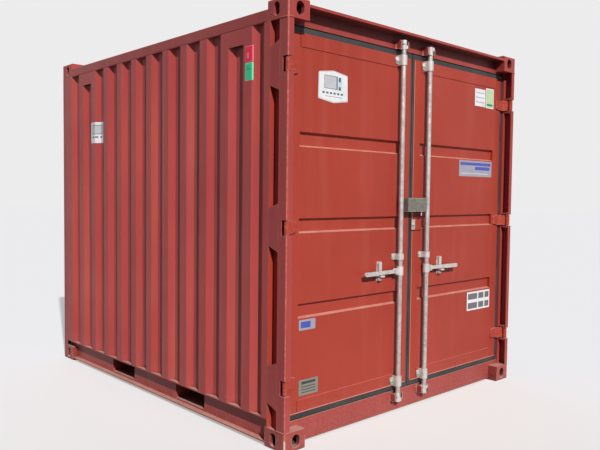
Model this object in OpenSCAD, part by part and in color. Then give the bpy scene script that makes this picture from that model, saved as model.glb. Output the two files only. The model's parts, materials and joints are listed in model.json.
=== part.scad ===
// Ten-foot steel storage container with a pair of hinged end doors.
// X runs along the length with the doors at +X, Y runs across, Z is up.
// The origin is the centre of the footprint, on the ground.

/* [Overall size] */
// Length over the corner castings
length = 2991; // [2400:1:6058]
// Width over the corner castings
width = 2438; // [2200:1:2600]
// Height over the corner castings
height = 2591; // [2300:1:2896]

/* [Corner castings] */
// Size of a casting along the length
casting_x = 178; // [170:1:190]
// Size of a casting across the width
casting_y = 162; // [155:1:175]
// Height of a casting
casting_z = 118; // [110:1:130]
// Thickness of the slotted plate and of the two outer faces
casting_wall = 28; // [20:1:32]
// Thickness of the casting's inward walls
casting_inner_wall = 14; // [10:1:16]
// Radius of the casting's outer edges
casting_edge = 12; // [6:1:14]
// Length of the lifting slot
slot_length = 124; // [115:1:126]
// Width of the lifting slot and of the hole in the end face
slot_width = 63.5; // [58:0.5:66]
// Height of the holes in the end and side faces
hole_height = 79.5; // [70:0.5:82]
// Width of the hole in the side face
side_hole_width = 51; // [44:1:58]
// Distance from the end face to the middle of the slot
slot_from_end = 102; // [98:1:106]
// Distance from the side face to the middle of the slot
slot_from_side = 89.5; // [84:0.5:93]

/* [Door posts] */
// Thickness of the steel of the posts
post_steel = 6; // [4:0.5:8]
// Width of the post's angle along the side
post_angle_x = 67.5; // [60:0.5:80]
// Width of the post's front lip
post_lip_y = 42; // [38:1:50]
// Width of the open recess behind the angle
post_recess_x = 82; // [70:1:100]
// Depth of the open recess
post_recess_y = 40; // [30:1:50]
// Radius of the post's outer corner
post_corner = 10; // [7:0.5:14]
// Half the height of a gusset plate at its front edge
gusset_front = 140; // [110:1:170]
// Half the height of a gusset plate at its back edge
gusset_back = 109; // [80:1:110]
// Thickness of a gusset plate
gusset_steel = 5; // [3:0.5:6]

/* [Rear posts] */
// Width of a rear post along the side and along the end
rear_post_leg = 65; // [50:1:90]

/* [Rails] */
// Height of the top rails
top_rail_z = 71; // [60:1:85]
// Depth of the top rails
top_rail_y = 60; // [50:1:80]
// Wall of the top rails
top_rail_steel = 3; // [2:0.5:5]
// Height of the top of the bottom rails
bottom_rail_top = 172; // [165:1:185]
// Height of the underside of the bottom rails
bottom_rail_low = 22; // [12:1:30]
// Depth of the channel of the bottom rails
bottom_rail_depth = 40; // [34:1:50]
// Thickness of the web of the bottom rails
bottom_rail_web = 5; // [4:0.5:8]
// Thickness of the flanges of the bottom rails
bottom_rail_flange = 8; // [4:0.5:9]

/* [Fork pockets] */
// Distance between the middles of the fork pockets
fork_spacing = 938; // [900:1:960]
// Width of a fork pocket
fork_width = 350; // [300:1:365]
// Height of the floor of a fork pocket
fork_low = 42; // [38:1:48]
// Sheet of the fork pockets
fork_sheet = 3; // [2:0.5:4]
// Length of the strap under each mouth of a fork pocket
fork_strap = 200; // [120:1:300]

/* [Floor] */
// Thickness of the floor boards
floor_board = 28; // [21:1:30]
// Height of the top of the floor
floor_top = 170; // [160:1:171]
// Gap between floor boards
floor_gap = 3; // [2:0.5:6]
// Number of floor boards
floor_boards_count = 3; // [2:1:6]
// Usual distance between cross members
cross_spacing = 212; // [190:1:260]
// Width of a cross member's flange
cross_flange = 45; // [35:1:60]
// Steel of the cross members
cross_steel = 4.5; // [3:0.5:6]

/* [Corrugated walls] */
// Thickness of the wall sheet
wall_sheet = 2; // [1.5:0.1:3]
// Depth of the corrugations
wall_depth = 30; // [20:1:36]
// Length of a sloped stretch, measured along the wall
wall_slope = 46; // [30:1:55]
// Width of a sunk flat
wall_flat = 59; // [45:1:75]
// Width of the sunk flat beside the door post
wall_last_flat = 22; // [15:1:40]
// Plain strip from the rear face to the first corrugation
wall_rear_strip = 178; // [150:1:200]
// Plain strip from the door face to the last corrugation
wall_front_strip = 209; // [195:1:230]
// Usual distance between corrugations
wall_pitch = 225; // [215:1:260]
// Distance between the corrugations near the rear
rear_pitch = 223; // [215:1:232]
// Number of corrugations at the rear's distance
rear_pitch_count = 6; // [3:1:6]
// Height of the vent covers under the top rail
vent_height = 97; // [80:1:120]

/* [Roof] */
// Thickness of the roof sheet
roof_sheet_steel = 2; // [1.5:0.1:3]
// Height of the ribs pressed into the roof
roof_rib_z = 18; // [12:1:24]
// Width of the top of a rib
roof_rib_top = 74; // [50:1:90]
// Width of each slope of a rib
roof_rib_slope = 24; // [12:1:30]
// Usual distance between ribs
roof_pitch = 209; // [180:1:260]
// Plain edge of the roof beside the ribs
roof_edge = 105; // [80:1:140]

/* [Header and sill] */
// Distance from the castings' end faces back to the frame's face
frame_setback = 77.5; // [75:0.5:80]
// Thickness of the header and sill steel
beam_steel = 6; // [4:0.5:7]
// Depth of the header along the length
header_depth = 78; // [60:1:84]
// How far the header hangs below the top castings
header_drop = 13; // [7:1:16]
// How far the header's flange rises above the top rails
header_rise = 12; // [4:1:16]
// Height of the upturned lip at the header's front edge
header_lip = 10; // [8:1:24]
// Width of the sill's foot along the length
sill_foot = 70; // [50:1:76]
// Height of the underside of the sill
sill_low = 12; // [10:1:20]
// Height of the sill's sealing face
sill_top = 146; // [140:1:150]

/* [Doors] */
// Thickness of a door leaf's frame
leaf_depth = 46; // [40:1:50]
// How far the top and bottom members stand proud of the leaf
leaf_proud = 4; // [2:0.5:5]
// Steel of the leaf's frame
leaf_steel = 4; // [3:0.5:5]
// Width of the leaf's member at the hinges
leaf_hinge_member = 91; // [80:1:100]
// Width of the leaf's member at the middle joint
leaf_lock_member = 73; // [60:1:80]
// Height of the leaf's top and bottom members
leaf_cross_member = 79; // [70:1:90]
// Thickness of the pressed door sheet
leaf_sheet = 2; // [1.5:0.1:3]
// Depth of the pressed bands in the door sheet
band_depth = 20; // [12:1:26]
// Height of a pressed band
band_height = 88; // [70:1:110]
// Height of a band's sloped edge
band_slope = 10; // [6:1:20]
// Distance from the leaf's foot to the middle of the lowest band
band_from_foot = 610; // [560:1:640]
// Distance from the leaf's head to the middle of the highest band
band_from_head = 613; // [560:1:650]
// Width of the rubber seal around a leaf, along the sides
seal_side = 27; // [20:1:30]
// Width of the rubber seal above and below a leaf
seal_end = 33; // [26:1:36]
// Width of the rubber seal at the middle joint
seal_middle = 19; // [15:0.5:22]
// Thickness of the rubber seal
seal_depth = 22; // [16:1:26]
// Thickness of the seal's lips
seal_lip = 5; // [3:0.5:6]
// Depth of the groove between the lips
seal_groove = 7; // [4:0.5:9]
// Gap that a closed seal leaves to the frame
seal_gap = 5; // [5:0.5:8]
// Gap between the seals of the two closed leaves
joint_gap = 6; // [6:0.5:10]

/* [Hinges] */
// Distance from the door face of the castings to the hinge pins
pin_from_end = 21.5; // [20:0.5:24]
// Distance from the side face to the hinge pins
pin_from_side = 21; // [20:0.5:24]
// Radius of a hinge pin
pin_r = 9; // [7:0.5:10]
// Radius of a hinge knuckle
knuckle_r = 16; // [14:0.5:17]
// Running clearance of the pins and bars
running_gap = 0.4; // [0.2:0.1:0.6]
// Height of a hinge blade at its knuckle
blade_height = 80; // [70:1:84]
// Height of a hinge blade at its tip
blade_tip = 58; // [40:1:66]
// Thickness of a hinge blade
blade_steel = 10; // [8:0.5:12]
// Length of a hinge blade on the leaf
blade_reach = 68; // [50:1:85]
// Height of a notch in the post around a hinge
notch_height = 90; // [86:1:96]
// Depth of a notch in the post around a hinge
notch_x = 45; // [43:1:50]
// Thickness of the lugs that hold a pin
lug_steel = 12; // [8:1:16]
// Distance from the leaf's foot to the lowest hinge
hinge_from_foot = 191; // [170:1:210]
// Distance from the leaf's head to the highest hinge
hinge_from_head = 207; // [190:1:230]

/* [Locking bars] */
// Radius of a locking bar
bar_r = 17; // [14:0.5:18]
// Distance from the middle joint to a locking bar
bar_y = 147; // [135:1:155]
// Distance from the frame's face to the middle of a bar
bar_stand_off = 33; // [32:1:40]
// Height of the foot of the bars
bar_low = 80; // [76:1:90]
// Distance from the container's top to the head of the bars
bar_from_top = 73; // [68:1:80]
// Thickness of the wall of a bracket around its bar
bracket_wall = 7; // [5:0.5:9]
// Height of a middle bar bracket
bracket_height = 40; // [30:1:50]
// Height of the sleeve of the brackets at the head and at the foot
sleeve_height = 68; // [56:1:70]
// Height of the foot plate of the brackets at the head and at the foot
end_plate_height = 48; // [40:1:54]
// Width of the foot plate of a bar bracket
bracket_width = 98; // [80:1:110]
// Distance from the leaf's foot to the lowest bar bracket
bracket_from_foot = 36; // [34:1:42]
// Distance from the leaf's head to the highest bar bracket
bracket_from_head = 34; // [34:1:42]
// Height of the middle bar bracket above the handle
middle_bracket_rise = 97; // [90:1:120]
// Thickness of the foot plates of the fittings
foot_plate = 6; // [4:0.5:8]
// Radius that the cam at each end of a bar sweeps
cam_r = 27; // [25:0.5:27]
// Height of a cam
cam_z = 60; // [50:1:64]
// Height of each of a cam's two lobes
cam_lobe = 22; // [16:1:24]
// Gap between a cam and its keeper
keeper_gap = 6; // [5:0.5:8]
// Thickness of a keeper's foot plate
keeper_plate = 4; // [3:0.5:4]
// Thickness of a keeper's lug
keeper_lug = 8; // [6:1:12]
// Height of a keeper
keeper_height = 56; // [50:1:60]

/* [Handles] */
// Height of the handles when closed
handle_z = 975; // [930:1:1010]
// Distance from a bar to the pivot of its handle
handle_pivot = 45; // [42:1:52]
// Length of a handle from its pivot
handle_length = 320; // [280:1:350]
// Height of the shank of a handle
handle_height = 24; // [18:1:26]
// Thickness of a handle
handle_steel = 10; // [8:0.5:12]
// Height of the grip of a handle
grip_height = 27; // [22:1:30]
// How far the grip is set outwards from the shank
grip_offset = 11; // [6:1:13]
// Distance from the pivot to the bend of a handle
grip_from_pivot = 176; // [168:1:190]
// Distance from the middle joint to a handle catch
catch_y = 334; // [310:1:340]
// Height of a catch's round lug above the handle
catch_rise = 73; // [60:1:80]
// Gap between a resting handle and the ledge of its catch
catch_gap = 5; // [3:0.5:8]

/* [Lock box] */
// Height of the middle of the lock box
box_z = 1423; // [1400:1:1460]
// Height of the lock box
box_height = 93; // [80:1:110]
// Reach of the lock box on the left leaf
box_left = 89; // [70:1:100]
// Reach of the lock box on the right leaf
box_right = 110; // [80:1:112]
// How far the lock box stands off the leaf
box_depth = 57; // [45:1:58]
// Steel of the lock box
box_steel = 4; // [3:0.5:5]
// Height of the seal bracket below the lock box
seal_plate_height = 75; // [60:1:90]
// Reach of the seal bracket from the middle joint
seal_plate_reach = 118; // [60:1:122]
// Distance between the lock box and the seal bracket
seal_plate_drop = 55; // [40:1:80]
// Gap from the middle joint to each half of the lock box
box_gap = 4; // [3.5:0.5:6]

/* [Hidden] */
$fn = 48;

red = "#9c4038";
zinc = "#b9babb";
rubber = "#3a3d40";
ply = "#8a6a48";

past = 1;
x_end = length / 2;
y_side = width / 2;
post_low = casting_z;
post_high = height - casting_z;
casting_back = x_end - casting_x;
casting_inside = y_side - casting_y;

// Stations of the door post, from the door end inwards
recess_front = x_end - post_angle_x - post_steel;
recess_back = recess_front - post_recess_x;
channel_back = recess_back - post_steel;
channel_inside = y_side - post_recess_y - post_steel;

// Faces of the door frame and of the leaf
frame_face = x_end - frame_setback;
leaf_face = frame_face - leaf_proud;
leaf_back = leaf_face - leaf_depth;
header_low = post_high - header_drop;
seal_clear_y = channel_inside - seal_gap;
leaf_outer = seal_clear_y - seal_side;
leaf_inner = joint_gap / 2 + seal_middle;
leaf_low = sill_top + seal_gap + seal_end;
leaf_high = header_low - seal_gap - seal_end;
field_inner = leaf_inner + leaf_lock_member;
field_outer = leaf_outer - leaf_hinge_member;
field_low = leaf_low + leaf_cross_member;
field_high = leaf_high - leaf_cross_member;
band_low_z = leaf_low + band_from_foot;
band_high_z = leaf_high - band_from_head;
band_z = [band_low_z, (band_low_z + band_high_z) / 2, band_high_z];

pin_x = x_end - pin_from_end;
pin_y = y_side - pin_from_side;
hinge_low_z = leaf_low + hinge_from_foot;
hinge_high_z = leaf_high - hinge_from_head;
hinge_z = [hinge_low_z, (hinge_low_z + hinge_high_z) / 2, hinge_high_z];
lug_gap = 2;

bar_x = frame_face + bar_stand_off;
bar_high = height - bar_from_top;
bracket_r = bar_r + running_gap + bracket_wall;
low_cam_z = bar_low;
high_cam_z = bar_high - cam_z;
keeper_reach = 12;

// Gap between a bar and what is welded to it
fitting_gap = 0.15;

// Stations of the sill behind its sealing face
sill_flat_end = leaf_back - 4;
sill_ramp_end = sill_flat_end - 28;
sill_back = sill_ramp_end - beam_steel;

header_back = frame_face - header_depth;
floor_low = floor_top - floor_board;
fork_middle = fork_spacing / 2;
rail_web_inside = bottom_rail_depth + bottom_rail_web;
roof_low = post_high + top_rail_z;
header_high = roof_low + header_rise;
roof_lap = 10;

// Corrugations of the walls
wall_recess = 2 * wall_slope + wall_flat;
wall_last = 2 * wall_slope + wall_last_flat;
side_first = -x_end + wall_rear_strip;
side_last = x_end - wall_front_strip - wall_last;
side_run = side_last - side_first;
side_count = round(side_run / wall_pitch);
front_pitch = (side_run - rear_pitch_count * rear_pitch) / (side_count - rear_pitch_count);

// Start of a corrugation, counted from the rear
function side_start(i) = i < rear_pitch_count
    ? side_first + i * rear_pitch
    : side_last - (side_count - i) * front_pitch;

// Thin sheet along a path of corners
function unit(v) = v / norm(v);
function left_of(v) = [-v[1], v[0]];
function side_of(path, i) = left_of(unit(path[i + 1] - path[i]));
function mitre(a, b) = (a + b) * 2 / ((a + b) * (a + b));
function shift_at(path, i) =
    i == 0 ? side_of(path, 0)
    : i == len(path) - 1 ? side_of(path, i - 1)
    : mitre(side_of(path, i - 1), side_of(path, i));
function thick(path, t) = concat(
    path,
    [for (i = [len(path) - 1:-1:0]) path[i] + t * shift_at(path, i)]
);

// Corners of one corrugation that starts at a, sunk by d, with a flat of length f
function corrugation(a, d, f) = [
    [a, 0], [a + wall_slope, -d], [a + wall_slope + f, -d], [a + 2 * wall_slope + f, 0]
];

module box(low, high) {
    translate(low)
        cube(high - low);
}

module both_sides() {
    children();
    mirror([0, 1, 0])
        children();
}

module both_ends() {
    children();
    mirror([1, 0, 0])
        children();
}

// Profiles drawn in X and Z, run along Y
module along_y(low, high) {
    translate([0, high, 0])
        rotate([90, 0, 0])
            linear_extrude(high - low)
                children();
}

// Profiles drawn in Y and Z, run along X
module along_x(low, high) {
    translate([low, 0, 0])
        rotate([90, 0, 90])
            linear_extrude(high - low)
                children();
}

module along_z(low, high) {
    translate([0, 0, low])
        linear_extrude(high - low)
            children();
}

module rectangle(low, high) {
    translate(low)
        square(high - low);
}

// Rectangle with its corner at high rounded
module one_round_corner(low, high, r) {
    difference() {
        rectangle(low, high);
        rectangle([high[0] - r, high[1] - r], [high[0] + past, high[1] + past]);
    }
    intersection() {
        translate([high[0] - r, high[1] - r])
            circle(r);
        rectangle([high[0] - r, high[1] - r], high);
    }
}

module rounded_rectangle(low, high, r) {
    rectangle([low[0] + r, low[1]], [high[0] - r, high[1]]);
    rectangle([low[0], low[1] + r], [high[0], high[1] - r]);
    for (x = [low[0] + r, high[0] - r])
        for (y = [low[1] + r, high[1] - r])
            translate([x, y])
                circle(r);
}

// Slot with round ends, long in its first direction
module stadium(long, wide) {
    run = (long - wide) / 2;
    square([2 * run, wide], center = true);
    for (s = [-1, 1])
        translate([s * run, 0])
            circle(wide / 2);
}

// Corner castings

module casting() {
    slot_x = x_end - slot_from_end;
    slot_y = y_side - slot_from_side;
    middle_z = casting_z / 2;
    difference() {
        intersection() {
            along_z(0, casting_z)
                one_round_corner([casting_back, casting_inside], [x_end, y_side], casting_edge);
            along_y(casting_inside, y_side)
                translate([0, casting_z])
                    mirror([0, 1])
                        one_round_corner([casting_back, 0], [x_end, casting_z], casting_edge);
            along_x(casting_back, x_end)
                translate([0, casting_z])
                    mirror([0, 1])
                        one_round_corner([casting_inside, 0], [y_side, casting_z], casting_edge);
        }
        box([casting_back + casting_inner_wall, casting_inside + casting_inner_wall, casting_wall],
            [x_end - casting_wall, y_side - casting_wall, casting_z - casting_inner_wall]);
        translate([slot_x, slot_y, 0])
            along_z(-past, casting_wall + past)
                stadium(slot_length, slot_width);
        along_x(x_end - casting_wall - past, x_end + past)
            translate([slot_y, middle_z])
                rotate(90)
                    stadium(hole_height, slot_width);
        along_y(y_side - casting_wall - past, y_side + past)
            translate([slot_x, middle_z])
                rotate(90)
                    stadium(hole_height, side_hole_width);
    }
}

module bottom_corner_castings() {
    color(red)
        both_ends()
            both_sides()
                casting();
}

module top_corner_castings() {
    color(red)
        translate([0, 0, height])
            mirror([0, 0, 1])
                both_ends()
                    both_sides()
                        casting();
}

// Door posts

module door_post_angles() {
    lip = y_side - post_lip_y;
    web = x_end - post_angle_x;
    color(red)
        both_sides()
            difference() {
                along_z(post_low, post_high)
                    difference() {
                        one_round_corner([web, lip], [x_end, y_side], post_corner);
                        rectangle([web - past, lip - past], [x_end - post_steel, y_side - post_steel]);
                    }
                for (z = hinge_z)
                    box([x_end - notch_x, lip - past, z - notch_height / 2],
                        [x_end + past, y_side + past, z + notch_height / 2]);
            }
}

module door_post_channels() {
    inside = y_side - post_recess_y;
    color(red)
        both_sides()
            along_z(post_low, post_high)
                polygon(thick([
                    [recess_front, y_side], [recess_front, inside],
                    [recess_back, inside], [recess_back, y_side]
                ], post_steel));
}

module post_gussets() {
    color(red)
        both_sides()
            for (z = hinge_z)
                along_y(y_side - gusset_steel, y_side)
                    polygon([
                        [recess_back, z - gusset_back], [recess_front, z - gusset_front],
                        [recess_front, z + gusset_front], [recess_back, z + gusset_back]
                    ]);
}

module hinge_lugs() {
    low = [x_end - post_angle_x, y_side - post_recess_y];
    high = [x_end - post_steel, y_side - post_steel];
    color(red)
        both_sides()
            for (z = hinge_z)
                for (s = [-1, 1])
                    translate([0, 0, z + s * (notch_height / 2 + lug_gap + lug_steel / 2)])
                        along_z(-lug_steel / 2, lug_steel / 2)
                            difference() {
                                rectangle(low, high);
                                translate([pin_x, pin_y])
                                    circle(pin_r + running_gap / 2);
                            }
}

module hinge_pins() {
    reach = notch_height / 2 + lug_gap + lug_steel;
    head = 5;
    color(zinc)
        both_sides()
            for (z = hinge_z)
                translate([pin_x, pin_y, z]) {
                    translate([0, 0, -reach - head])
                        cylinder(r = pin_r, h = 2 * reach + head);
                    translate([0, 0, reach])
                        cylinder(r = pin_r + 3, h = head);
                }
}

module rear_corner_posts() {
    leg = rear_post_leg;
    color(red)
        both_sides()
            mirror([1, 0, 0])
                along_z(post_low, post_high)
                    difference() {
                        one_round_corner([x_end - leg, y_side - leg], [x_end, y_side], post_corner);
                        rectangle([x_end - leg - past, y_side - leg - past],
                                  [x_end - post_steel, y_side - post_steel]);
                    }
}

// Header and sill across the doorway

module door_header() {
    beam = beam_steel;
    color(red) {
        along_y(-casting_inside, casting_inside) {
            difference() {
                rectangle([header_back, header_low], [frame_face, header_high]);
                rectangle([header_back + beam, header_low + beam], [frame_face - beam, header_high - beam]);
            }
            rectangle([frame_face - past, header_high - beam], [x_end, header_high]);
            rectangle([x_end - beam, header_high - beam], [x_end, header_high + header_lip]);
            rectangle([casting_back - past, roof_low], [header_back + past, roof_low + roof_sheet_steel]);
        }
        both_sides()
            box([header_back, casting_inside - past, header_low], [frame_face, channel_inside, post_high]);
    }
}

module door_sill() {
    foot = frame_face - sill_foot;
    color(red)
        difference() {
            along_y(-channel_inside, channel_inside)
                polygon(thick([
                    [foot, sill_low], [frame_face, sill_low], [frame_face, sill_top],
                    [sill_flat_end, sill_top], [sill_ramp_end, floor_top], [sill_back, floor_top]
                ], beam_steel));
            both_sides()
                box([casting_back - past, casting_inside, -past], [x_end + past, y_side, casting_z]);
        }
}

// Rails

module tube_profile(low, high) {
    steel = top_rail_steel;
    difference() {
        rounded_rectangle(low, high, 2 * steel);
        rounded_rectangle([low[0] + steel, low[1] + steel], [high[0] - steel, high[1] - steel], steel);
    }
}

// Tube with a thin flange on top that reaches the roof sheet between the castings
module rear_top_rail() {
    flange = roof_low + roof_sheet_steel;
    color(red)
        along_y(-casting_inside, casting_inside) {
            tube_profile([-x_end, post_high], [-x_end + top_rail_y, roof_low]);
            rectangle([-x_end + roof_lap, roof_low - past], [-x_end + top_rail_y - roof_lap, flange]);
            rectangle([-x_end + roof_lap, roof_low], [-casting_back + past, flange]);
        }
}

module top_side_rails() {
    color(red)
        both_sides()
            along_x(-casting_back, casting_back)
                tube_profile([y_side - top_rail_y, post_high], [y_side, roof_low]);
}

// Channel of a bottom rail whose outer edge is at face and whose web is inwards of it
module channel_profile(face) {
    web = face - bottom_rail_depth;
    inside = web - bottom_rail_web;
    rectangle([inside, bottom_rail_low], [web, bottom_rail_top]);
    for (z = [bottom_rail_low, bottom_rail_top - bottom_rail_flange])
        rectangle([inside, z], [face, z + bottom_rail_flange]);
}

module rear_bottom_rail() {
    leg = y_side - rear_post_leg;
    color(red)
        mirror([1, 0, 0])
            difference() {
                along_y(-leg, leg)
                    channel_profile(x_end);
                both_sides()
                    box([casting_back - past, casting_inside, 0], [x_end + past, y_side, casting_z]);
            }
}

// Stretches of channel between the castings and the fork pockets
module bottom_side_rails() {
    near = fork_middle - fork_width / 2 - fork_sheet;
    far = fork_middle + fork_width / 2 + fork_sheet;
    color(red)
        both_sides()
            for (run = [[-casting_back, -far], [-near, near], [far, casting_back]])
                along_x(run[0], run[1])
                    channel_profile(y_side);
}

// Ends of the rails that lie on the castings
module bottom_rail_ends() {
    color(red)
        both_sides()
            for (run = [[-x_end + rear_post_leg, -casting_back], [casting_back, channel_back]])
                along_x(run[0], run[1])
                    intersection() {
                        channel_profile(y_side);
                        rectangle([casting_inside, post_low], [y_side, bottom_rail_top]);
                    }
}

// Tubes across the container, each with a stretch of rail around both mouths
module fork_pockets() {
    reach = y_side - rail_web_inside + past;
    half = fork_width / 2;
    outside = half + fork_sheet;
    strap_steel = 2 * fork_sheet;
    color(red)
        for (x = [-fork_middle, fork_middle])
            translate([x, 0, 0])
                difference() {
                    union() {
                        box([-outside, -reach, fork_low - strap_steel], [outside, reach, floor_low]);
                        both_sides()
                            along_x(-outside, outside)
                                channel_profile(y_side);
                    }
                    box([-half, -y_side - past, fork_low], [half, y_side + past, floor_low - fork_sheet]);
                    box([-half, -reach + fork_strap, fork_low - strap_steel - past],
                        [half, reach - fork_strap, fork_low + past]);
                }
}

// Floor

function spread(low, high, count) = [for (i = [1:count]) low + (high - low) * i / (count + 1)];

module cross_members() {
    reach = y_side - rail_web_inside;
    pocket = fork_middle + fork_width / 2 + fork_sheet;
    gap = fork_middle - fork_width / 2 - fork_sheet;
    end_count = round((x_end - pocket) / cross_spacing) - 1;
    places = concat(
        spread(-x_end + bottom_rail_depth, -pocket, end_count),
        spread(-gap, gap, 2),
        spread(pocket, casting_back, end_count)
    );
    color(red)
        for (x = places)
            translate([x - cross_flange / 2, 0, 0])
                along_y(-reach, reach)
                    difference() {
                        rectangle([0, bottom_rail_low], [cross_flange, floor_low]);
                        rectangle([cross_steel, bottom_rail_low + cross_steel],
                                  [cross_flange + past, floor_low - cross_steel]);
                    }
}

module floor_boards() {
    low = -x_end + rail_web_inside;
    high = sill_back;
    reach = y_side - rail_web_inside;
    board = (high - low - floor_gap * (floor_boards_count - 1)) / floor_boards_count;
    color(ply)
        for (i = [0:floor_boards_count - 1])
            translate([low + i * (board + floor_gap), 0, 0])
                box([0, -reach, floor_low], [board, reach, floor_top]);
}

// Corrugated walls

module side_wall() {
    path = concat(
        [[-x_end + rear_post_leg, 0]],
        [for (i = [0:side_count - 1]) each corrugation(side_start(i), wall_depth, wall_flat)],
        corrugation(side_last, wall_depth, wall_last_flat),
        [[channel_back, 0]]
    );
    along_z(bottom_rail_top, post_high)
        translate([0, y_side])
            polygon(thick(path, -wall_sheet));
}

module left_side_wall() {
    color(red)
        mirror([0, 1, 0])
            side_wall();
}

module right_side_wall() {
    color(red)
        side_wall();
}

module rear_wall() {
    half = y_side - rear_post_leg;
    count = floor(2 * half / wall_pitch);
    pitch = 2 * half / count;
    margin = (pitch - wall_recess) / 2;
    path = concat(
        [[-half, 0]],
        [for (i = [0:count - 1]) each corrugation(-half + margin + i * pitch, wall_depth, wall_flat)],
        [[half, 0]]
    );
    color(red)
        along_z(bottom_rail_top, post_high)
            translate([-x_end, 0])
                rotate(90)
                    polygon(thick(path, -wall_sheet));
}

// The cover closes the mouth of a recess and leans on both of its slopes
module vent_cover(start) {
    steel = wall_sheet;
    lean = wall_slope * steel / wall_depth;
    fit = 0.3;
    a = start + fit;
    b = start + wall_recess - fit;
    translate([0, y_side, 0])
        along_z(post_high - vent_height, post_high)
            polygon([[a, 0], [b, 0], [b - lean, -steel], [a + lean, -steel]]);
}

module vent_covers() {
    color(red)
        both_sides() {
            vent_cover(side_start(1));
            vent_cover(side_start(side_count - 1));
        }
}

// Roof

module rib_profile(grow) {
    top = roof_rib_top / 2;
    foot = top + roof_rib_slope;
    polygon([[-foot - grow, 0], [-top, roof_rib_z], [top, roof_rib_z], [foot + grow, 0]]);
}

module roof_sheet() {
    rib_reach = y_side - roof_edge;
    run = 2 * (casting_back - roof_rib_slope);
    count = floor(run / roof_pitch);
    pitch = run / count;
    steel = roof_sheet_steel;
    places = [for (i = [0:count - 1]) (i - (count - 1) / 2) * pitch];
    color(red)
        translate([0, 0, roof_low])
            difference() {
                union() {
                    box([-casting_back + past, -y_side + roof_lap, 0],
                        [casting_back - past, y_side - roof_lap, steel]);
                    for (x = places)
                        translate([x, 0, steel])
                            along_y(-rib_reach, rib_reach)
                                rib_profile(0);
                }
                for (x = places)
                    translate([x, 0, 0])
                        along_y(-rib_reach + steel, rib_reach - steel)
                            rib_profile(0);
            }
}

// Keepers for the cams of the locking bars

// One lug beside the cam, with a foot that turns away from it
module keeper_side(inner) {
    outer = inner + keeper_lug;
    foot = 10;
    edge = 8;
    half = keeper_height / 2;
    front = bar_x + keeper_reach;
    box([frame_face, inner, -half], [frame_face + keeper_plate, outer + foot, half]);
    along_y(inner, outer)
        polygon([
            [frame_face, -half], [front - edge, -half], [front, edge - half],
            [front, half - edge], [front - edge, half], [frame_face, half]
        ]);
}

module keeper(cam_low) {
    translate([0, bar_y, cam_low + cam_z / 2]) {
        keeper_side(cam_r + keeper_gap);
        mirror([0, 1, 0])
            keeper_side(cam_r + keeper_gap);
    }
}

module cam_keepers() {
    color(red)
        both_sides() {
            keeper(low_cam_z);
            keeper(high_cam_z);
        }
}

// Door leaf, drawn for the right-hand side at +Y

module leaf_frame() {
    for (y = [[leaf_inner, field_inner], [field_outer, leaf_outer]])
        along_z(leaf_low, leaf_high)
            difference() {
                rectangle([leaf_back, y[0]], [leaf_face, y[1]]);
                rectangle([leaf_back + leaf_steel, y[0] + leaf_steel],
                          [leaf_face - leaf_steel, y[1] - leaf_steel]);
            }
    for (z = [[leaf_low, field_low], [field_high, leaf_high]])
        along_y(field_inner, field_outer)
            difference() {
                rectangle([leaf_back, z[0]], [frame_face, z[1]]);
                rectangle([leaf_back - past, z[0] + leaf_steel], [leaf_face - leaf_steel, z[1] - leaf_steel]);
            }
}

function band(z) = [
    [leaf_face, z - band_height / 2], [leaf_face - band_depth, z - band_height / 2 + band_slope],
    [leaf_face - band_depth, z + band_height / 2 - band_slope], [leaf_face, z + band_height / 2]
];

module leaf_sheet_shape() {
    path = concat(
        [[leaf_face, field_low]],
        [for (z = band_z) each band(z)],
        [[leaf_face, field_high]]
    );
    along_y(field_inner, field_outer)
        polygon(thick(path, leaf_sheet));
}

// One layer of the seal, set back from the frame and from the joint
module seal_ring(low, high, back_off, joint_off) {
    inner = joint_gap / 2 + joint_off;
    along_x(low, high)
        difference() {
            rounded_rectangle([inner, leaf_low - seal_end + back_off],
                              [seal_clear_y - back_off, leaf_high + seal_end - back_off], 8);
            rectangle([leaf_inner, leaf_low], [leaf_outer, leaf_high]);
        }
}

// Two lips with a groove between them, the inner lip shorter at the joint so that it swings clear
module leaf_seal() {
    front = leaf_face - 2;
    back = front - seal_depth;
    swing_off = 2;
    seal_ring(front - seal_lip, front, 0, 0);
    seal_ring(back + seal_lip, front - seal_lip, seal_groove, seal_groove);
    seal_ring(back, back + seal_lip, 0, swing_off);
}

// The blade lies on the leaf and turns up to its knuckle on the pin
module blade_plan() {
    bend = leaf_outer - 4;
    rise = [pin_x - 26 - leaf_face, pin_y - 6 - bend];
    across = blade_steel / norm(rise) * [rise[1], -rise[0]];
    tip = leaf_outer - blade_reach;
    difference() {
        union() {
            polygon([
                [leaf_face, tip], [leaf_face, bend], [leaf_face + rise[0], bend + rise[1]],
                [pin_x - 10, pin_y + 12], [pin_x, pin_y], [pin_x - 2, pin_y - 15],
                [leaf_face + rise[0] + across[0], bend + rise[1] + across[1]],
                [leaf_face + blade_steel, bend - 5], [leaf_face + blade_steel, tip + 10],
                [leaf_face + blade_steel / 2, tip]
            ]);
            translate([pin_x, pin_y])
                circle(knuckle_r);
        }
        translate([pin_x, pin_y])
            circle(pin_r + running_gap);
    }
}

module leaf_blades() {
    tip = leaf_outer - blade_reach;
    wide = leaf_outer - 10;
    for (z = hinge_z)
        translate([0, 0, z])
            intersection() {
                along_z(-blade_height / 2, blade_height / 2)
                    blade_plan();
                along_x(leaf_face - past, x_end)
                    polygon([
                        [tip - past, -blade_tip / 2], [wide, -blade_height / 2], [y_side, -blade_height / 2],
                        [y_side, blade_height / 2], [wide, blade_height / 2], [tip - past, blade_tip / 2]
                    ]);
            }
}

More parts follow.
